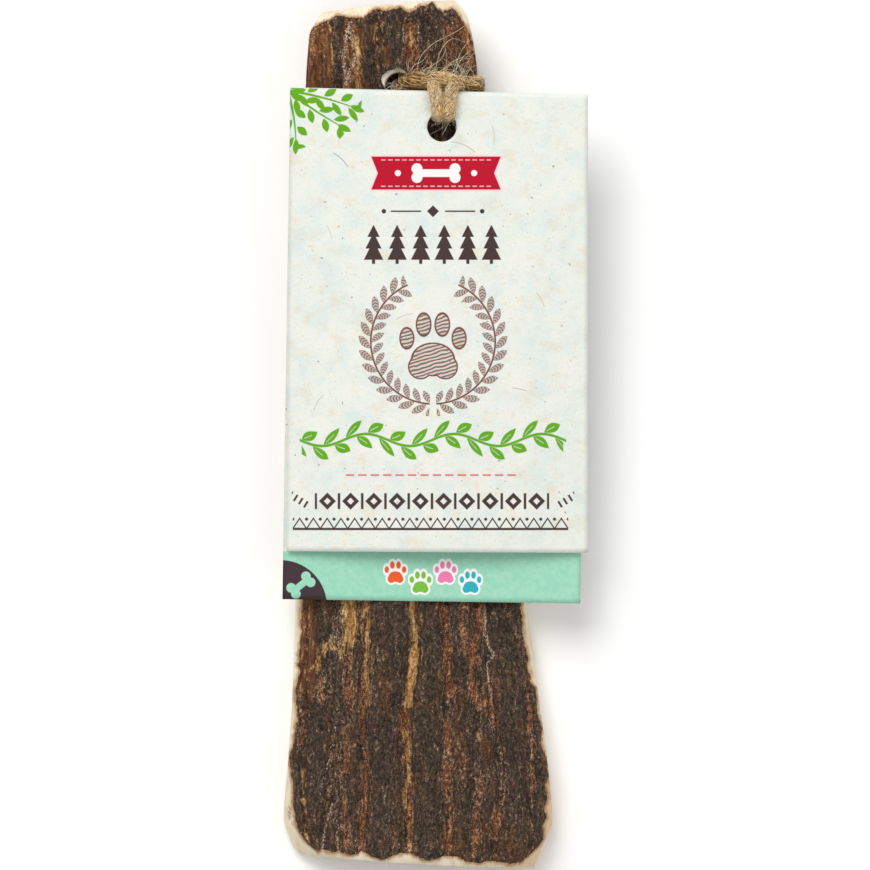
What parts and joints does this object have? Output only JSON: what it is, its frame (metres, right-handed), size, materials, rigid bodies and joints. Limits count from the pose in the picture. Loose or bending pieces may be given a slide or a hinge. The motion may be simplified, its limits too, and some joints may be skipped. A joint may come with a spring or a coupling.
{
  "type": "deer antler chew",
  "caption": "Flat-backed slab of ridged antler with sanded edges, and a folded card tag tied through a drilled hole with jute twine.",
  "frame": {"origin": "a point of the flat sawn back, midway along the slab", "axes": "+Y along the slab to its narrow, drilled end; +Z out of the bark; the sawn back lies on z = 0"},
  "size_m": [0.0513, 0.1459, 0.0187],
  "materials": {
    "antler": "rough dark brown bark with rust and ochre furrows, cream bone where it is sawn, drilled and sanded",
    "card": "matt off-white recycled card with flecks, printed in brown, green, red and mint",
    "jute": "undyed golden jute, loosely twisted, with loose hairs"
  },
  "bodies": {
    "root": {"antler": "antler", "tag": "card", "twine": "jute"}
  },
  "joints": []
}
